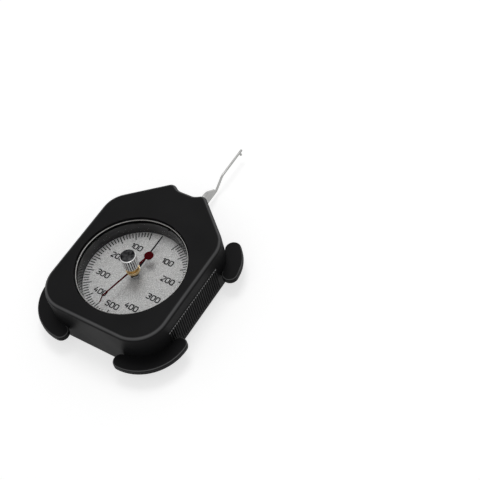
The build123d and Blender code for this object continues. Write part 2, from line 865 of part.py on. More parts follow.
# Pinion on the pointer's arbor. A gap between two teeth faces the sector at rest.
pinion_dedendum = sector_addendum + root_clearance
pinion_shape = tooth_outline(pinion_pitch_radius, pinion_addendum, pinion_dedendum)
pinion_step = 2 * math.pi / pinion_teeth
pinion_places = [math.pi / 2 + pinion_step * (tooth + 0.5) for tooth in range(pinion_teeth)]
with BuildPart() as pinion:
    with BuildSketch(Plane.XY.offset(sector_low - pinion_overhang)):
        with BuildLine():
            Polyline(*toothed_points((0, 0), pinion_shape, pinion_places), close=True)
        make_face()
        Circle(pinion_arbor_radius, mode=Mode.SUBTRACT)
    extrude(amount=sector_thickness + pinion_overhang * 2)
pinion.part.label = "pinion"
export_step(pinion.part, "parts/pinion.step")

# Toothed sector on the lever's arbor, with a window to keep it light.
sector_dedendum = pinion_addendum + root_clearance
sector_shape = tooth_outline(sector_pitch_radius, sector_addendum, sector_dedendum)
sector_step = 2 * math.pi / sector_teeth
side_range = range(-sector_side_teeth, sector_side_teeth + 1)
sector_places = [-math.pi / 2 + sector_step * tooth for tooth in side_range]
rim_radius = sector_pitch_radius - sector_dedendum
with BuildPart() as sector_gear:
    with BuildSketch(Plane.XY.offset(sector_low)):
        with BuildLine():
            pivot = (0, pivot_y)
            low_side = -90 - sector_side_angle
            high_side = -90 + sector_side_angle
            rim_start = PolarLine(pivot, rim_radius, low_side)
            rim_end = PolarLine(pivot, rim_radius, high_side)
            teeth_line = toothed_points(pivot, sector_shape, sector_places)
            Polyline(rim_start @ 1, *teeth_line, rim_end @ 1)
        make_face()
        with BuildLine():
            for radius in (window_inner_radius, rim_radius - sector_rim):
                CenterArc(pivot, radius, -90 - window_half_angle, window_half_angle * 2)
            for side in (-90 - window_half_angle, -90 + window_half_angle):
                inner_end = Vector(window_inner_radius, 0).rotate(Axis.Z, side) + Vector(*pivot)
                PolarLine(inner_end, rim_radius - sector_rim - window_inner_radius, side)
        make_face(mode=Mode.SUBTRACT)
        with Locations(pivot):
            Circle(sector_hub_radius)
    extrude(amount=sector_thickness)
    with BuildSketch(Plane.XY.offset(hub_high)):
        with Locations(pivot):
            Circle(sector_hub_radius)
    extrude(amount=sector_hub_high - hub_high)
    with BuildSketch(Plane.XY.offset(hub_high)):
        with Locations(pivot):
            Circle(lever_arbor_radius)
    extrude(amount=sector_hub_high - hub_high, mode=Mode.SUBTRACT)
sector_gear.part.label = "sector_gear"
export_step(sector_gear.part, "parts/sector_gear.step")

# Places along the lever, and the route of the measuring wire, in the upright plane through it.
blade_start = scoop_floor + blade_gap
blade_crest_start = blade_start + blade_slope
blade_bow_start = blade_crest_start + blade_crest
blade_slant_start = blade_bow_start + blade_bow
blade_nose = blade_slant_start + blade_slant
wire_rise_start = blade_nose + wire_lead
wire_rise_end = wire_rise_start + wire_rise_run
wire_tip = wire_rise_end + wire_tip_run
wire_low = arm_low - wire_drop
wire_high = wire_low + wire_step
wire_points = [
    (0, blade_start + wire_bury, wire_low),
    (0, wire_rise_start, wire_low),
    (0, wire_rise_end, wire_high),
    (0, wire_tip, wire_high),
]
with BuildPart() as measuring_wire:
    with BuildLine():
        FilletPolyline(*wire_points, radius=wire_bend_radius)
    with BuildSketch(Plane(wire_points[0], z_dir=(0, 1, 0))):
        Circle(wire_radius)
    sweep()
    fillet(measuring_wire.faces().sort_by(Axis.Y)[-1].edges(), radius=wire_radius / 2)
measuring_wire.part.label = "measuring_wire"
export_step(measuring_wire.part, "parts/measuring_wire.step")

# Lever arm: hub, bar through the slot, and the upright blade that narrows to a nose.
with BuildPart() as lever_arm:
    with BuildSketch(Plane.XY.offset(hub_low)):
        with Locations((0, pivot_y)):
            Circle(hub_radius)
    extrude(amount=hub_high - hub_low)
    with BuildSketch(Plane.XY.offset(arm_low)):
        with Locations((0, pivot_y)):
            Rectangle(arm_width, blade_crest_start - pivot_y, align=(Align.CENTER, Align.MIN))
    extrude(amount=arm_height)
    with BuildSketch(Plane.YZ):
        with BuildLine():
            back_low = (blade_start, wire_low + blade_seat)
            back_high = (blade_start, arm_high)
            rise_end = (blade_crest_start, arm_high + blade_rise)
            bow_start = (blade_bow_start, arm_high + blade_rise)
            bow_end = (blade_slant_start, arm_high + blade_rise - blade_bow_drop)
            nose_high = (blade_nose, wire_low + blade_nose_height)
            nose_low = (blade_nose, wire_low + blade_seat)
            Polyline(bow_end, nose_high, nose_low, back_low, back_high, rise_end, bow_start)
            TangentArc(bow_start, bow_end, tangent=(1, 0))
        make_face()
    extrude(amount=blade_width / 2, both=True)
    with BuildSketch(Plane.XY.offset(hub_low)):
        with Locations((0, pivot_y)):
            Circle(lever_arbor_radius)
    extrude(amount=hub_high - hub_low, mode=Mode.SUBTRACT)
    add(measuring_wire.part, mode=Mode.SUBTRACT)
lever_arm.part.label = "lever_arm"
export_step(lever_arm.part, "parts/lever_arm.step")

# Short pin with a round end, brazed under the wire near its tip, where the force is taken.
with BuildPart() as tip_pin:
    pin_y = wire_tip - tip_pin_back
    pin_low = wire_high - wire_radius - tip_pin_drop
    with BuildSketch(Plane.XY.offset(pin_low)):
        with Locations((0, pin_y)):
            Circle(tip_pin_radius)
    extrude(amount=wire_high - pin_low)
    with Locations((0, pin_y, pin_low)):
        Sphere(tip_pin_ball_radius)
    add(measuring_wire.part, mode=Mode.SUBTRACT)
tip_pin.part.label = "tip_pin"
export_step(tip_pin.part, "parts/tip_pin.step")

# Boss that carries the main pointer on its arbor.
with BuildPart() as pointer_boss:
    with BuildSketch(Plane.XY.offset(dial_top + pointer_boss_lift)):
        Circle(pointer_boss_radius)
        Circle(pinion_pivot_radius, mode=Mode.SUBTRACT)
    extrude(amount=main_pointer_rise - pointer_boss_lift)
pointer_boss.part.label = "pointer_boss"
export_step(pointer_boss.part, "parts/pointer_boss.step")

# Thin black main pointer, at zero.
with BuildPart() as main_pointer:
    with BuildSketch(Plane.XY.offset(pointer_low)):
        Polygon(
            (-main_pointer_root_width / 2, -main_pointer_tail),
            (main_pointer_root_width / 2, -main_pointer_tail),
            (main_pointer_root_width / 2, 0),
            (main_pointer_tip_width / 2, main_pointer_reach),
            (-main_pointer_tip_width / 2, main_pointer_reach),
            (-main_pointer_root_width / 2, 0),
            align=None,
        )
        Circle(pointer_boss_radius)
        Circle(pinion_pivot_radius, mode=Mode.SUBTRACT)
    extrude(amount=main_pointer_thickness)
main_pointer.part.label = "main_pointer"
export_step(main_pointer.part, "parts/main_pointer.step")

# Brass hub under the peak pointer, with a neck that the pointer sits on.
with BuildPart() as peak_hub:
    with BuildSketch(Plane.XY.offset(hub_bottom)):
        Circle(brass_hub_radius)
    extrude(amount=brass_hub_height)
    fillet(peak_hub.faces().sort_by(Axis.Z)[0].edges(), radius=brass_edge_radius)
    with BuildSketch(Plane.XY.offset(peak_low)):
        Circle(brass_neck_radius)
    extrude(amount=peak_thickness)
    with BuildSketch(Plane.XY.offset(hub_bottom)):
        Circle(spindle_radius)
    extrude(amount=brass_hub_height + peak_thickness, mode=Mode.SUBTRACT)
peak_hub.part.label = "peak_hub"
export_step(peak_hub.part, "parts/peak_hub.step")

# Brass washer that clamps the peak pointer from above.
with BuildPart() as peak_washer:
    with BuildSketch(Plane.XY.offset(peak_high)):
        Circle(brass_hub_radius)
        Circle(spindle_radius, mode=Mode.SUBTRACT)
    extrude(amount=brass_washer_height)
    fillet(
        peak_washer.faces().sort_by(Axis.Z)[-1].edges().sort_by(SortBy.RADIUS)[-1],
        radius=brass_edge_radius,
    )
peak_washer.part.label = "peak_washer"
export_step(peak_washer.part, "parts/peak_washer.step")

# Dark red peak pointer: disc and tail, straight arm, and a tip bent down towards the dial.
heading = Vector(0, 1, 0).rotate(Axis.Z, peak_angle)
across = Vector(1, 0, 0).rotate(Axis.Z, peak_angle)
kink_low = peak_low - peak_tip_drop


def along(reach, side):
    """A point on the peak pointer, out along it and to one side."""
    point = heading * reach + across * side
    return (point.X, point.Y)


with BuildPart() as peak_pointer:
    kink_width = peak_root_width + (peak_tip_width - peak_root_width) * peak_kink / peak_reach
    with BuildSketch(Plane.XY.offset(peak_low)):
        Polygon(
            along(-peak_tail, -peak_tail_width / 2),
            along(-peak_tail, peak_tail_width / 2),
            along(0, peak_tail_width / 2),
            along(0, peak_root_width / 2),
            along(peak_kink, kink_width / 2),
            along(peak_kink, -kink_width / 2),
            along(0, -peak_root_width / 2),
            along(0, -peak_tail_width / 2),
            align=None,
        )
        Circle(brass_neck_radius + peak_tail_width)
        with Locations(along(-peak_tail, 0)):
            Circle(peak_disc_radius)
        Circle(brass_neck_radius, mode=Mode.SUBTRACT)
    extrude(amount=peak_thickness)
    tip_plane = Plane(origin=(0, 0, 0), x_dir=heading, z_dir=across)
    with BuildSketch(tip_plane):
        Polygon(
            (peak_kink, peak_low),
            (peak_reach, kink_low),
            (peak_reach, kink_low + peak_thickness),
            (peak_kink, peak_high),
            align=None,
        )
    extrude(amount=kink_width / 2, both=True)
peak_pointer.part.label = "peak_pointer"
export_step(peak_pointer.part, "parts/peak_pointer.step")

# Steel spindle that joins the knob to the peak pointer's hub.
with BuildPart() as peak_spindle:
    with BuildSketch(Plane.XY.offset(hub_bottom)):
        Circle(spindle_radius)
    extrude(amount=knob_low + knob_socket_depth - hub_bottom)
peak_spindle.part.label = "peak_spindle"
export_step(peak_spindle.part, "parts/peak_spindle.step")

# Thin washer under the knob, whose drag keeps the peak pointer where it is put.
with BuildPart() as friction_washer:
    with BuildSketch(Plane.XY.offset(knob_low - friction_washer_height)):
        Circle(friction_washer_radius)
        Circle(spindle_radius, mode=Mode.SUBTRACT)
    extrude(amount=friction_washer_height)
friction_washer.part.label = "friction_washer"
export_step(friction_washer.part, "parts/friction_washer.step")

# Knurled knob with a plain chamfered rim and a slightly domed top.
with BuildPart() as reset_knob:
    with BuildSketch(Plane.XY.offset(knob_low)):
        Circle(knob_radius)
        with PolarLocations(knob_radius, knurl_count):
            RegularPolygon(knurl_width / 2, 4, mode=Mode.SUBTRACT)
    extrude(amount=knob_height - knob_rim_height)
    with BuildSketch(Plane.XY.offset(knob_low + knob_height - knob_rim_height)):
        Circle(knob_radius)
    extrude(amount=knob_rim_height)
    chamfer(reset_knob.faces().sort_by(Axis.Z)[-1].edges(), length=knob_chamfer)
    with BuildSketch(Plane.XZ):
        top_radius = knob_radius - knob_chamfer
        with BuildLine():
            rim = (top_radius, knob_low + knob_height)
            crown = (0, knob_low + knob_height + knob_dome)
            Line((0, knob_low + knob_height), rim)
            TangentArc(crown, rim, tangent=(1, 0))
            Line(crown, (0, knob_low + knob_height))
        make_face()
    revolve(axis=Axis.Z)
    with BuildSketch(Plane.XY.offset(knob_low)):
        Circle(spindle_radius)
    extrude(amount=knob_socket_depth, mode=Mode.SUBTRACT)
reset_knob.part.label = "reset_knob"
export_step(reset_knob.part, "parts/reset_knob.step")
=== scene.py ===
import math

import bpy
from mathutils import Matrix, Vector


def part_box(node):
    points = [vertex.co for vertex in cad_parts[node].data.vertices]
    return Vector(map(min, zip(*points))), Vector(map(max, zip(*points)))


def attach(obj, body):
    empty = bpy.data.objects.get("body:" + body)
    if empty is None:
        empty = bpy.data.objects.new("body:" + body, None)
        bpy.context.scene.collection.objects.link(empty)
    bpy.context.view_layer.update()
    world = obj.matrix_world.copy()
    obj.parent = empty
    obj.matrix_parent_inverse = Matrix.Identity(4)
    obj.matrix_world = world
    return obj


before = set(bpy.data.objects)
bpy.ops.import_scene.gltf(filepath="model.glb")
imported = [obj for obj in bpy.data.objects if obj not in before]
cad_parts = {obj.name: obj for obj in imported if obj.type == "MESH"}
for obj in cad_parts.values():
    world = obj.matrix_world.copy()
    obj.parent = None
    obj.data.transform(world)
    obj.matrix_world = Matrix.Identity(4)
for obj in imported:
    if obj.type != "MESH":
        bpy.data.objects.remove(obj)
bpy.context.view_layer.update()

# The case is two halves moulded in black ABS, screwed together from behind. The mould's spark-eroded
# walls leave a fine satin grain, and the window's well is polished. Pale painted highlights lie on the
# rounded edges and the rib ends, and the well's black is painted lighter as painted light from the dial.
mm = 0.001
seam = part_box("rear_housing")[1].z
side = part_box("front_housing")[1].x
dial_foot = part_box("dial_plate")[0].z
crystal_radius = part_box("crystal")[1].x


def linear(hex_colour):
    """A hex sRGB colour as the linear colour that a shader wants."""
    parts = [int(hex_colour[place : place + 2], 16) / 255 for place in (1, 3, 5)]
    return tuple(c / 12.92 if c <= 0.04045 else ((c + 0.055) / 1.055) ** 2.4 for c in parts) + (1.0,)


def new_material(name):
    """An empty node material."""
    material = bpy.data.materials.new(name)
    material.use_nodes = True
    material.node_tree.nodes.clear()
    return material


def add_node(host, kind, inputs=None, **settings):
    """Adds a node to a material or to the world. An input given as another node's output is linked,
    and any other one is set."""
    made = host.node_tree.nodes.new("ShaderNode" + kind)
    for name, value in settings.items():
        setattr(made, name, value)
    for name, value in (inputs or {}).items():
        if isinstance(value, bpy.types.NodeSocket):
            host.node_tree.links.new(value, made.inputs[name])
        else:
            made.inputs[name].default_value = value
    return made


def axis_distance(material):
    """How far the shaded point is from the dial's axis."""
    place = add_node(material, "TexCoord").outputs["Object"]
    flat = add_node(material, "VectorMath", {0: place, 1: (1, 1, 0)}, operation="MULTIPLY")
    length = add_node(material, "VectorMath", {0: flat.outputs["Vector"]}, operation="LENGTH")
    return length.outputs["Value"]


def moulded_abs():
    """Black ABS: satin outside, polished in the well, dark in the seam. Its rounded edges and rib ends
    carry pale painted highlights, and the well's black is painted lighter as painted light.
    """
    grain_width = 0.3 * mm  # the real grain of about 0.1 mm is drawn coarser, to show at all
    grain_height = 0.03 * mm
    smudge_width = 14 * mm
    # Each pair of values is where a mask starts and where it is full.
    up_from_wall, up_on_edge = 0.45, 0.75  # how far the surface faces up, from 0 on a wall
    up_on_face, up_off_face = 0.985, 0.88  # and down again from 1 on the face
    rib_foot, rib_crest = side + 0.05 * mm, side + 0.15 * mm
    below_rib_end, on_rib_end = seam - 0.6 * mm, seam - 0.3 * mm
    seam_half_width, seam_core = 0.09 * mm, 0.045 * mm
    well_rim, well_wall = crystal_radius - 0.6 * mm, crystal_radius - 0.8 * mm
    under_dial, at_dial = dial_foot - 0.6 * mm, dial_foot - 0.1 * mm

    material = new_material("moulded_black_abs")
    place = add_node(material, "TexCoord").outputs["Object"]
    apart = add_node(material, "SeparateXYZ", {"Vector": place})
    height = apart.outputs["Z"]
    grain = add_node(material, "TexNoise", {"Vector": place, "Scale": 1 / grain_width, "Detail": 2.0})
    smudge = add_node(material, "TexNoise", {"Vector": place, "Scale": 1 / smudge_width, "Detail": 4.0})

    # A pale painted highlight on the rounded edge between the walls and the face, broken up unevenly.
    normal = add_node(material, "TexCoord").outputs["Normal"]
    upward = add_node(material, "SeparateXYZ", {"Vector": normal}).outputs["Z"]
    off_wall = add_node(
        material, "MapRange", {"Value": upward, "From Min": up_from_wall, "From Max": up_on_edge}
    )
    off_face = add_node(
        material, "MapRange", {"Value": upward, "From Min": up_on_face, "From Max": up_off_face}
    )
    on_round = add_node(
        material,
        "Math",
        {0: off_wall.outputs["Result"], 1: off_face.outputs["Result"]},
        operation="MULTIPLY",
    )
    highlight_unevenness = add_node(material, "MapRange", {"Value": smudge.outputs["Fac"], "To Min": 0.5, "To Max": 1.1})
    edge_mask = add_node(
        material,
        "Math",
        {0: on_round.outputs["Value"], 1: highlight_unevenness.outputs["Result"]},
        operation="MULTIPLY",
        use_clamp=True,
    )

    # A painted highlight on the upper ends of the ribs, just under the seam, where they catch the light.
    from_middle = add_node(material, "Math", {0: apart.outputs["X"]}, operation="ABSOLUTE")
    on_rib = add_node(
        material,
        "MapRange",
        {"Value": from_middle.outputs["Value"], "From Min": rib_foot, "From Max": rib_crest},
    )
    near_seam = add_node(
        material, "MapRange", {"Value": height, "From Min": below_rib_end, "From Max": on_rib_end}
    )
    rib_end = add_node(
        material,
        "Math",
        {0: on_rib.outputs["Result"], 1: near_seam.outputs["Result"]},
        operation="MULTIPLY",
    )

    # The seam between the halves.
    from_seam = add_node(material, "Math", {0: height, 1: seam}, operation="SUBTRACT")
    off_seam = add_node(material, "Math", {0: from_seam.outputs["Value"]}, operation="ABSOLUTE")
    in_seam = add_node(
        material,
        "MapRange",
        {"Value": off_seam.outputs["Value"], "From Min": seam_half_width, "From Max": seam_core},
    )

    # The well, from the crystal down to the dial.
    in_bore = add_node(
        material,
        "MapRange",
        {"Value": axis_distance(material), "From Min": well_rim, "From Max": well_wall},
    )
    above_dial = add_node(
        material, "MapRange", {"Value": height, "From Min": under_dial, "From Max": at_dial}
    )
    in_well = add_node(
        material,
        "Math",
        {0: in_bore.outputs["Result"], 1: above_dial.outputs["Result"]},
        operation="MULTIPLY",
    ).outputs["Value"]

    handled = add_node(
        material,
        "Mix",
        {"Factor": smudge.outputs["Fac"], "A": linear("#0b0b0c"), "B": linear("#161617")},
        data_type="RGBA",
    )
    # The rounded edges take a pale painted highlight, uneven along their length.
    edge_highlighted = add_node(
        material,
        "Mix",
        {"Factor": edge_mask.outputs["Value"], "A": handled.outputs["Result"], "B": linear("#646465")},
        data_type="RGBA",
    )
    # The rib ends take pale painted highlight dots.
    rib_ends_highlighted = add_node(
        material,
        "Mix",
        {"Factor": rib_end.outputs["Value"], "A": edge_highlighted.outputs["Result"], "B": linear("#9c9c9d")},
        data_type="RGBA",
    )
    seamed = add_node(
        material,
        "Mix",
        {"Factor": in_seam.outputs["Result"], "A": rib_ends_highlighted.outputs["Result"], "B": linear("#040404")},
        data_type="RGBA",
    )
    # Inside the well the black is painted lighter, as painted light that the polished wall takes from
    # the bright dial.
    tone = add_node(
        material,
        "Mix",
        {"Factor": in_well, "A": seamed.outputs["Result"], "B": linear("#202021")},
        data_type="RGBA",
    )
    satin = add_node(
        material, "MapRange", {"Value": smudge.outputs["Fac"], "To Min": 0.56, "To Max": 0.4}
    )
    smoothed = add_node(material, "Mix", {"Factor": in_well, "A": grain.outputs["Fac"], "B": 0.5})
    bump = add_node(
        material,
        "Bump",
        {"Height": smoothed.outputs["Result"], "Strength": 0.4, "Distance": grain_height},
    )
    shader = add_node(
        material,
        "BsdfPrincipled",
        {
            "Base Color": tone.outputs["Result"],
            "Roughness": satin.outputs["Result"],
            "IOR": 1.53,
            "Specular IOR Level": 0.06,
            "Coat Weight": in_well,
            "Coat Roughness": 0.08,
            "Normal": bump.outputs["Normal"],
        },
    )
    add_node(material, "OutputMaterial", {"Surface": shader.outputs["BSDF"]})
    return material


def dress(material, *names):
    """Gives CAD nodes a material in their own slots."""
    for name in names:
        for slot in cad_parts[name].material_slots:
            slot.material = material


dress(moulded_abs(), "front_housing", "rear_housing")


# The ring that holds the crystal is turned from brass tube and nickel plated. It sits in a dark gap,
# and only its rounded top edge catches the light.
def eased_normal(material, radius):
    """The surface's normal, with sharp edges rounded off to a radius."""
    return add_node(material, "Bevel", {"Radius": radius}, samples=6).outputs["Normal"]


def turned_metal(name, colour, tarnish, roughness):
    """Metal turned on a lathe: fine rings about the dial's axis, which all the turned pieces in sight
    share, and a soft uneven tarnish."""
    ring_pitch = 0.12 * mm  # real tool marks of about 0.05 mm are drawn coarser, to show at all
    ring_height = 0.01 * mm
    tarnish_width = 1.5 * mm
    edge_radius = 0.12 * mm

    material = new_material(name)
    place = add_node(material, "TexCoord").outputs["Object"]
    rings = add_node(
        material,
        "TexNoise",
        {"W": axis_distance(material), "Scale": 1 / ring_pitch, "Detail": 1.0},
        noise_dimensions="1D",
    )
    patina = add_node(
        material, "TexNoise", {"Vector": place, "Scale": 1 / tarnish_width, "Detail": 3.0}
    )
    tone = add_node(
        material,
        "Mix",
        {"Factor": patina.outputs["Fac"], "A": linear(colour), "B": linear(tarnish)},
        data_type="RGBA",
    )
    shine = add_node(
        material,
        "MapRange",
        {"Value": rings.outputs["Fac"], "To Min": roughness * 0.7, "To Max": roughness * 1.4},
    )
    bump = add_node(
        material,
        "Bump",
        {
            "Height": rings.outputs["Fac"],
            "Strength": 0.2,
            "Distance": ring_height,
            "Normal": eased_normal(material, edge_radius),
        },
    )
    shader = add_node(
        material,
        "BsdfPrincipled",
        {
            "Base Color": tone.outputs["Result"],
            "Metallic": 1.0,
            "Roughness": shine.outputs["Result"],
            "Normal": bump.outputs["Normal"],
        },
    )
    add_node(material, "OutputMaterial", {"Surface": shader.outputs["BSDF"]})
    return material


dress(turned_metal("nickel_plated_ring", "#989795", "#7e7d7c", 0.24), "bezel_ring")


# The crystal is a flat disc cut from clear cast acrylic and dropped on the well's ledge. Wiping has
# left it very slightly dull.
def cast_acrylic():
    """Clear acrylic, barely mirroring the room. Light from the lamps and the room goes straight
    through it."""
    wipe_width = 6 * mm
    quiet_ior = 1.03  # real acrylic has 1.49, whose reflections would hide the dark well

    material = new_material("cast_acrylic_clear")
    place = add_node(material, "TexCoord").outputs["Object"]
    wiping = add_node(material, "TexNoise", {"Vector": place, "Scale": 1 / wipe_width, "Detail": 2.0})
    dullness = add_node(material, "MapRange", {"Value": wiping.outputs["Fac"], "To Max": 0.02})
    acrylic = add_node(
        material,
        "BsdfPrincipled",
        {
            "Base Color": linear("#fefefe"),
            "Roughness": dullness.outputs["Result"],
            "IOR": quiet_ior,
            "Transmission Weight": 1.0,
        },
    )
    open_way = add_node(material, "BsdfTransparent", {"Color": linear("#fbfbfb")})
    ray = add_node(material, "LightPath")
    lit_through = add_node(
        material,
        "Math",
        {0: ray.outputs["Is Shadow Ray"], 1: ray.outputs["Is Diffuse Ray"]},
        operation="ADD",
        use_clamp=True,
    )
    mixed = add_node(
        material,
        "MixShader",
        {0: lit_through.outputs["Value"], 1: acrylic.outputs["BSDF"], 2: open_way.outputs["BSDF"]},
    )
    add_node(material, "OutputMaterial", {"Surface": mixed.outputs["Shader"]})
    return material


dress(cast_acrylic(), "crystal")


# The bush in the crystal, the washer under the knob and the hub and washer of the peak pointer are
# turned from brass rod and left bright. The bush is riveted into the crystal, and the knob's spindle
# turns in it.
turned_brass = turned_metal("turned_brass", "#f4ddb2", "#d9b67c", 0.24)
dress(turned_brass, "crystal_bush", "friction_washer", "peak_hub", "peak_washer")


# The dial is a stamped aluminium plate, blasted to a fine silver-grey speckle and then printed. It
# lies under the well's rim, with two feet in the upper plate of the movement.
def speckled_dial():
    """Blasted aluminium: grey, with a tight random sparkle of lighter and darker grains."""
    speck_width = 0.32 * mm  # the real blast marks of 0.1 mm are drawn coarser, to show at all
    speck_depth = 0.02 * mm

    material = new_material("blasted_silver_dial")
    place = add_node(material, "TexCoord").outputs["Object"]
    specks = add_node(
        material,
        "TexNoise",
        {"Vector": place, "Scale": 1 / speck_width, "Detail": 3.0, "Roughness": 0.7},
    )
    sparkle = add_node(
        material, "MapRange", {"Value": specks.outputs["Fac"], "From Min": 0.35, "From Max": 0.65}
    )
    tone = add_node(
        material,
        "Mix",
        {"Factor": sparkle.outputs["Result"], "A": linear("#8c8c8c"), "B": linear("#e4e4e3")},
        data_type="RGBA",
    )
    bump = add_node(
        material, "Bump", {"Height": specks.outputs["Fac"], "Strength": 0.5, "Distance": speck_depth}
    )
    shader = add_node(
        material,
        "BsdfPrincipled",
        {
            "Base Color": tone.outputs["Result"],
            "Metallic": 0.2,
            "Roughness": 0.6,
            "Normal": bump.outputs["Normal"],
        },
    )
    add_node(material, "OutputMaterial", {"Surface": shader.outputs["BSDF"]})
    return material


dress(speckled_dial(), "dial_plate")


# The graduations are printed on the dial in black ink. A division stands every 3.6 degrees, with a
# long one every fifth, and none beside the zero. The print sits a touch clockwise on the plate.
def printing_ink():
    """Black printing ink, nearly matt, a little uneven where it takes the blasted plate."""
    patch_width = 0.25 * mm
    patch_height = 0.01 * mm

    material = new_material("black_printing_ink")
    place = add_node(material, "TexCoord").outputs["Object"]
    cover = add_node(material, "TexNoise", {"Vector": place, "Scale": 1 / patch_width, "Detail": 1.0})
    tone = add_node(
        material,
        "Mix",
        {"Factor": cover.outputs["Fac"], "A": linear("#050506"), "B": linear("#121213")},
        data_type="RGBA",
    )
    bump = add_node(
        material, "Bump", {"Height": cover.outputs["Fac"], "Strength": 0.3, "Distance": patch_height}
    )
    shader = add_node(
        material,
        "BsdfPrincipled",
        {
            "Base Color": tone.outputs["Result"],
            "Roughness": 0.55,
            "Specular IOR Level": 0.1,
            "Normal": bump.outputs["Normal"],
        },
    )
    add_node(material, "OutputMaterial", {"Surface": shader.outputs["BSDF"]})
    return material


ink = printing_ink()
ink_height = 0.03 * mm
ink_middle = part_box("dial_plate")[1].z + ink_height / 2
mark_width = 0.46 * mm
mark_outer = 23.3 * mm
mark_inner = 20.9 * mm
long_mark_inner = 19.5 * mm
division = math.radians(3.6)
divisions_per_long = 5
open_half_angle = math.radians(18)
print_turn = Matrix.Rotation(math.radians(-1.3), 4, "Z")


def make_marks(name, inner, outer, step):
    """A ring of printed bars, spun from one bar at the right of the zero round to its left."""
    bpy.ops.object.select_all(action="DESELECT")
    bpy.ops.mesh.primitive_cube_add(size=1, location=(0, (inner + outer) / 2, ink_middle))
    marks = bpy.context.object
    marks.name = name
    marks.scale = (mark_width, outer - inner, ink_height)
    bpy.ops.object.transform_apply(location=True, rotation=True, scale=True)
    marks.data.transform(Matrix.Rotation(-open_half_angle, 4, "Z"))
    round_angle = 2 * math.pi - 2 * open_half_angle
    bpy.ops.object.mode_set(mode="EDIT")
    bpy.ops.mesh.select_all(action="SELECT")
    bpy.ops.mesh.spin(
        steps=round(round_angle / step), dupli=True, angle=round_angle, center=(0, 0, 0), axis=(0, 0, 1)
    )
    bpy.ops.object.mode_set(mode="OBJECT")
    marks.data.transform(print_turn)
    marks.data.materials.append(ink)
    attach(marks, "case")


make_marks("division_marks", mark_inner, mark_outer, division)
make_marks("long_marks", long_mark_inner, mark_inner, division * divisions_per_long)

# The numerals are printed with the graduations, in the same ink: bold pen strokes of one width, all
# upright, counting both ways from the zero.
numeral_width = 1.65 * mm
narrow_width = 0.75 * mm  # of the figure one
numeral_height = 2.4 * mm
numeral_gap = 0.65 * mm
pen_radius = 0.27 * mm
bend_steps = 4
round_share = 0.15  # how far the round corners of a nought reach along its strokes
low_round_share = round_share * numeral_width / numeral_height
# Each numeral's strokes, in shares of its width and height.
numeral_shares = {
    "0": [
        [
            (round_share, 0),
            (1 - round_share, 0),
            (1, low_round_share),
            (1, 1 - low_round_share),
            (1 - round_share, 1),
            (round_share, 1),
            (0, 1 - low_round_share),
            (0, low_round_share),
        ]
    ],
    "1": [[(0, 0.75), (1, 1)], [(1, 1), (1, 0)]],
    "2": [[(0, 0.85), (0, 1), (1, 1), (1, 0.6), (0.6, 0.4), (0, 0)], [(0, 0), (1, 0)]],
    "3": [
        [(0, 0.9), (0, 1), (1, 1), (1, 0.54), (0.3, 0.54)],
        [(0.3, 0.54), (1, 0.54), (1, 0), (0, 0), (0, 0.12)],
    ],
    "4": [[(0.6, 1), (0, 0.3)], [(0, 0.3), (1, 0.3)], [(0.78, 0.6), (0.78, 0)]],
    "5": [
        [(0.95, 1), (0.1, 1)],
        [(0.1, 1), (0, 0.56)],
        [(0, 0.56), (1, 0.56), (1, 0), (0, 0), (0, 0.14)],
    ],
}
numeral_places = [
    ("100", -8.75 * mm, 12.85 * mm),
    ("200", -13.6 * mm, 4.8 * mm),
    ("300", -13.8 * mm, -5.6 * mm),
    ("400", -9.2 * mm, -13.6 * mm),
    ("500", -0.2 * mm, -16.85 * mm),
    ("400", 7.9 * mm, -13.8 * mm),
    ("300", 13.7 * mm, -5.7 * mm),
    ("200", 14.0 * mm, 4.6 * mm),
    ("100", 8.4 * mm, 12.5 * mm),
]


def write_number(curve, number, centre_x, centre_y):
    """Adds the pen strokes of a number to a curve, about its centre."""
    widths = [narrow_width if digit == "1" else numeral_width for digit in number]
    left = centre_x - (sum(widths) + numeral_gap * (len(number) - 1)) / 2
    for digit, width in zip(number, widths):
        for stroke in numeral_shares[digit]:
            spline = curve.splines.new("NURBS")
            spline.points.add(len(stroke) - 1)
            for point, (across, up) in zip(spline.points, stroke):
                y = centre_y + (up - 0.5) * numeral_height
                point.co = (left + across * width, y, 0, 1)
            spline.order_u = 3 if len(stroke) > 2 else 2
            spline.use_cyclic_u = digit == "0"
            spline.use_endpoint_u = digit != "0"
            spline.resolution_u = bend_steps
        left += width + numeral_gap


strokes = bpy.data.curves.new("numerals", "CURVE")
strokes.dimensions = "3D"
strokes.bevel_depth = pen_radius
strokes.bevel_resolution = 1
strokes.use_fill_caps = True
for number, centre_x, centre_y in numeral_places:
    write_number(strokes, number, centre_x, centre_y)
numerals = bpy.data.objects.new("numerals", strokes)
bpy.context.collection.objects.link(numerals)
bpy.ops.object.select_all(action="DESELECT")
numerals.select_set(True)
bpy.context.view_layer.objects.active = numerals
bpy.ops.object.convert(target="MESH")
# The round pen's bead is pressed flat to the ink's height.
numerals.data.transform(Matrix.Diagonal((1, 1, ink_height / pen_radius / 2, 1)))
numerals.data.transform(Matrix.Translation((0, 0, ink_middle)))
numerals.data.transform(print_turn)
numerals.data.materials.append(ink)
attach(numerals, "case")


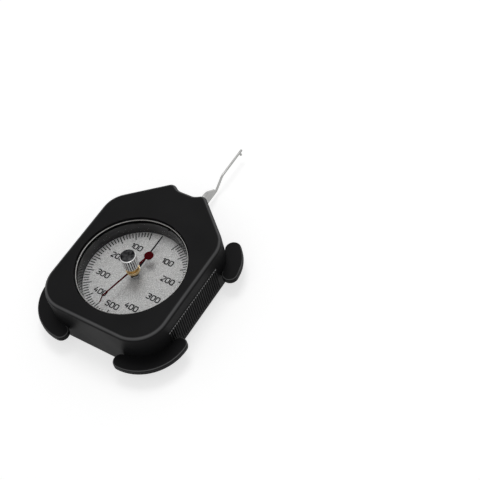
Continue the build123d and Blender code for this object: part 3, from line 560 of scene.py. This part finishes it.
# The main pointer is a sliver of sheet brass, painted matt black. Its boss, the arbor and pinion
# under it and the knob's spindle are turned from steel bar.
def sprayed_paint(name, colour, worn, roughness, gloss):
    """Thin sprayed paint: fine orange peel, and a slightly lighter tone where it is worn on an edge."""
    peel_width = 0.3 * mm
    peel_height = 0.005 * mm
    edge_radius = 0.06 * mm
    flat, sharp = 0.99, 0.8  # how nearly the rounded and the true normal agree on a flat and an edge

    material = new_material(name)
    place = add_node(material, "TexCoord").outputs["Object"]
    peel = add_node(material, "TexNoise", {"Vector": place, "Scale": 1 / peel_width, "Detail": 1.0})
    eased = eased_normal(material, edge_radius)
    true_normal = add_node(material, "NewGeometry").outputs["Normal"]
    agreeing = add_node(material, "VectorMath", {0: eased, 1: true_normal}, operation="DOT_PRODUCT")
    on_edge = add_node(
        material,
        "MapRange",
        {"Value": agreeing.outputs["Value"], "From Min": flat, "From Max": sharp},
    )
    edge_mask = add_node(
        material,
        "Math",
        {0: on_edge.outputs["Result"], 1: peel.outputs["Fac"]},
        operation="MULTIPLY",
        use_clamp=True,
    )
    tone = add_node(
        material,
        "Mix",
        {"Factor": edge_mask.outputs["Value"], "A": linear(colour), "B": linear(worn)},
        data_type="RGBA",
    )
    bump = add_node(
        material,
        "Bump",
        {"Height": peel.outputs["Fac"], "Strength": 0.1, "Distance": peel_height, "Normal": eased},
    )
    shader = add_node(
        material,
        "BsdfPrincipled",
        {
            "Base Color": tone.outputs["Result"],
            "Roughness": roughness,
            "Specular IOR Level": gloss,
            "Normal": bump.outputs["Normal"],
        },
    )
    add_node(material, "OutputMaterial", {"Surface": shader.outputs["BSDF"]})
    return material


dress(sprayed_paint("matt_black_pointer_paint", "#08090d", "#22222a", 0.6, 0.1), "main_pointer")
turned_steel = turned_metal("turned_steel", "#c4c5c7", "#a2a3a6", 0.24)
dress(turned_steel, "pointer_boss", "pointer_arbor", "pinion", "peak_spindle")

# The peak pointer is stamped from sheet, with a round counterweight and its tip bent down towards
# the dial, and sprayed a deep red that is almost matt.
dress(sprayed_paint("deep_red_pointer_paint", "#48050c", "#520d12", 0.7, 0.03), "peak_pointer")


# The knob is turned from steel bar, straight knurled under a plain rim, and chrome plated. Its
# slightly domed end face is dulled, and painted dark and mottled right out to the edge, as a painted
# reflection of dark surroundings in its polished chrome.
def plated_knob():
    """Polished chrome, with painted shade in the knurl's grooves and a dulled end face painted dark."""
    knob_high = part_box("reset_knob")[1]
    mottle_width = 1.6 * mm
    mottle_height = 0.02 * mm
    edge_radius = 0.08 * mm
    # Each pair of values is where a mask starts and where it is full.
    groove_top, groove_floor = knob_high.x - 0.1 * mm, knob_high.x - 0.25 * mm
    below_end, on_end_face = knob_high.z - 0.17 * mm, knob_high.z - 0.13 * mm

    material = new_material("chromed_knurled_knob")
    place = add_node(material, "TexCoord").outputs["Object"]
    height = add_node(material, "SeparateXYZ", {"Vector": place}).outputs["Z"]
    mottle = add_node(material, "TexNoise", {"Vector": place, "Scale": 1 / mottle_width, "Detail": 3.0})
    mottled = add_node(
        material, "MapRange", {"Value": mottle.outputs["Fac"], "From Min": 0.35, "From Max": 0.65}
    )
    in_groove = add_node(
        material,
        "MapRange",
        {"Value": axis_distance(material), "From Min": groove_top, "From Max": groove_floor},
    )
    on_end = add_node(
        material, "MapRange", {"Value": height, "From Min": below_end, "From Max": on_end_face}
    )
    on_side = add_node(material, "Math", {0: 1.0, 1: on_end.outputs["Result"]}, operation="SUBTRACT")
    # The knurl's grooves are painted darker, as painted shade.
    groove_shade = add_node(
        material,
        "Math",
        {0: in_groove.outputs["Result"], 1: on_side.outputs["Value"]},
        operation="MULTIPLY",
    )
    side_tone = add_node(
        material,
        "Mix",
        {"Factor": groove_shade.outputs["Value"], "A": linear("#f8f8f8"), "B": linear("#52504f")},
        data_type="RGBA",
    )
    # The end face's dark mottle is a painted reflection of dark surroundings.
    end_painted_reflection = add_node(
        material,
        "Mix",
        {"Factor": mottled.outputs["Result"], "A": linear("#080809"), "B": linear("#363637")},
        data_type="RGBA",
    )
    tone = add_node(
        material,
        "Mix",
        {
            "Factor": on_end.outputs["Result"],
            "A": side_tone.outputs["Result"],
            "B": end_painted_reflection.outputs["Result"],
        },
        data_type="RGBA",
    )
    side_dullness = add_node(
        material, "MapRange", {"Value": mottle.outputs["Fac"], "To Min": 0.1, "To Max": 0.26}
    )
    dullness = add_node(
        material,
        "Mix",
        {"Factor": on_end.outputs["Result"], "A": side_dullness.outputs["Result"], "B": 0.35},
    )
    bump = add_node(
        material,
        "Bump",
        {
            "Height": mottle.outputs["Fac"],
            "Strength": 0.1,
            "Distance": mottle_height,
            "Normal": eased_normal(material, edge_radius),
        },
    )
    shader = add_node(
        material,
        "BsdfPrincipled",
        {
            "Base Color": tone.outputs["Result"],
            "Metallic": 1.0,
            "Roughness": dullness.outputs["Result"],
            "Normal": bump.outputs["Normal"],
        },
    )
    add_node(material, "OutputMaterial", {"Surface": shader.outputs["BSDF"]})
    return material


dress(plated_knob(), "reset_knob")


# The lever's arm and blade are milled from steel bar and plated bright. The measuring wire is hard
# drawn and soldered along under the arm, with the pin that takes the force brazed under its tip.
def drawn_metal(name, colour, tarnish, roughness, squeeze):
    """Rolled, drawn or filed metal: fine straight scratches along the axis that is squeezed."""
    scratch_width = 0.15 * mm  # real scratches of about 0.05 mm are drawn coarser, to show at all
    scratch_depth = 0.004 * mm
    tarnish_width = 4 * mm
    edge_radius = 0.1 * mm

    material = new_material(name)
    place = add_node(material, "TexCoord").outputs["Object"]
    along = add_node(material, "Mapping", {"Vector": place, "Scale": squeeze})
    scratches = add_node(
        material,
        "TexNoise",
        {"Vector": along.outputs["Vector"], "Scale": 1 / scratch_width, "Detail": 2.0},
    )
    patina = add_node(
        material, "TexNoise", {"Vector": place, "Scale": 1 / tarnish_width, "Detail": 3.0}
    )
    tone = add_node(
        material,
        "Mix",
        {"Factor": patina.outputs["Fac"], "A": linear(colour), "B": linear(tarnish)},
        data_type="RGBA",
    )
    shine = add_node(
        material,
        "MapRange",
        {"Value": scratches.outputs["Fac"], "To Min": roughness * 0.8, "To Max": roughness * 1.2},
    )
    bump = add_node(
        material,
        "Bump",
        {
            "Height": scratches.outputs["Fac"],
            "Strength": 0.1,
            "Distance": scratch_depth,
            "Normal": eased_normal(material, edge_radius),
        },
    )
    shader = add_node(
        material,
        "BsdfPrincipled",
        {
            "Base Color": tone.outputs["Result"],
            "Metallic": 1.0,
            "Roughness": shine.outputs["Result"],
            "Normal": bump.outputs["Normal"],
        },
    )
    add_node(material, "OutputMaterial", {"Surface": shader.outputs["BSDF"]})
    return material


bright_steel = drawn_metal("plated_bright_steel", "#b4b4b2", "#8f8f8e", 0.32, (1, 0.06, 1))
dress(bright_steel, "lever_arm", "measuring_wire", "tip_pin")

# The movement stands between two plates sawn from rolled brass, the lower one screwed to pads in the
# case. Its toothed sector is stamped from the same sheet and fixed to the lever's arbor.
rolled_brass = drawn_metal("rolled_brass", "#cfa457", "#a9803d", 0.32, (1, 0.05, 1))
dress(rolled_brass, "bottom_plate", "top_plate", "sector_gear")

# Pillars, bushes, collets and studs of the movement are turned from brass rod. The pillars are
# riveted into the lower plate, and the collets and studs hold the ends of the two springs.
dress(turned_brass, "pillars", "pinion_bushes", "lever_bushes")
dress(turned_brass, "hairspring_collet", "hairspring_stud", "spring_collet", "spring_stud")

# Screws, stop pins and the lever's arbor are turned from steel bar. The pins under the upper plate
# end the sector's swing, and four slotted screws in deep holes hold the case together.
dress(turned_steel, "case_screws", "pillar_screws", "plate_screws", "stop_pins", "lever_arbor")

# Both springs are flat spirals, wound from rolled spring steel strip and tempered to a dull blue.
# Each has its inner end in a collet and its outer end in a stud.
blued_steel = drawn_metal("blued_spring_steel", "#4b5570", "#33394c", 0.3, (1, 1, 0.1))
dress(blued_steel, "hairspring", "measuring_spring")


# The gauge lies on its back on a wide sheet of plain pale paper. It is only stage, and takes the
# gauge's soft shadow.
def pale_floor():
    """Matt pale paper, which the camera and reflections see as white."""
    shown_glow = 0.62

    material = new_material("pale_floor")
    ray = add_node(material, "LightPath")
    seen = add_node(
        material,
        "Math",
        {0: ray.outputs["Is Camera Ray"], 1: ray.outputs["Is Glossy Ray"]},
        operation="ADD",
    )
    shown = add_node(
        material,
        "Math",
        {0: seen.outputs["Value"], 1: ray.outputs["Is Transmission Ray"]},
        operation="ADD",
        use_clamp=True,
    )
    glow = add_node(material, "Math", {0: shown.outputs["Value"], 1: shown_glow}, operation="MULTIPLY")
    shader = add_node(
        material,
        "BsdfPrincipled",
        {
            "Base Color": linear("#cfcfcf"),
            "Roughness": 0.9,
            "Specular IOR Level": 0.1,
            "Emission Color": linear("#ffffff"),
            "Emission Strength": glow.outputs["Value"],
        },
    )
    add_node(material, "OutputMaterial", {"Surface": shader.outputs["BSDF"]})
    return material


bpy.ops.object.select_all(action="DESELECT")
bpy.ops.mesh.primitive_plane_add(size=4.0, location=(0, 0, 0))
floor = bpy.context.object
floor.name = "floor"
floor.data.materials.append(pale_floor())

# The room is an even pale surround, which lights the gauge dimly and is shown white behind it and in
# its reflections.
room_light = 0.4
room_white = 1.0
world = bpy.data.worlds.new("pale_room")
world.use_nodes = True
world.node_tree.nodes.clear()
path = add_node(world, "LightPath")
room_seen = add_node(
    world, "Math", {0: path.outputs["Is Camera Ray"], 1: path.outputs["Is Glossy Ray"]}, operation="ADD"
)
room_shown = add_node(
    world,
    "Math",
    {0: room_seen.outputs["Value"], 1: path.outputs["Is Transmission Ray"]},
    operation="ADD",
    use_clamp=True,
)
level = add_node(
    world, "MapRange", {"Value": room_shown.outputs["Value"], "To Min": room_light, "To Max": room_white}
)
room = add_node(world, "Background", {"Color": linear("#ffffff"), "Strength": level.outputs["Result"]})
add_node(world, "OutputWorld", {"Surface": room.outputs["Background"]})
bpy.context.scene.world = world


# Two softboxes light the gauge: a key light high over the head of the case, and a weaker fill from
# the right of its foot.
def add_softbox(name, place, size, power):
    """A square softbox turned towards the middle of the case."""
    bpy.ops.object.light_add(type="AREA", location=place)
    lamp = bpy.context.object
    lamp.name = name
    lamp.data.shape = "SQUARE"
    lamp.data.size = size
    lamp.data.energy = power
    lamp.rotation_euler = (-Vector(place)).to_track_quat("-Z", "Y").to_euler()


add_softbox("key_softbox", (-0.15, 0.33, 0.9), 0.4, 2.2)
add_softbox("fill_softbox", (0.6, -0.5, 0.6), 0.6, 0.6)

# The camera stands where the photograph was taken from, solved from the round window and the
# straight edges of the case.
camera_place = (0.22949, -0.17453, 0.39068)
camera_turn = (math.radians(36.674), math.radians(8.641), math.radians(31.854))
focal_length = 81.96  # in mm, for a sensor 36 mm wide
bpy.ops.object.camera_add(location=camera_place, rotation=camera_turn)
camera = bpy.context.object
camera.data.lens = focal_length
camera.data.sensor_width = 36.0
camera.data.clip_start = 0.01
bpy.context.scene.camera = camera
bpy.context.scene.view_settings.view_transform = "Standard"
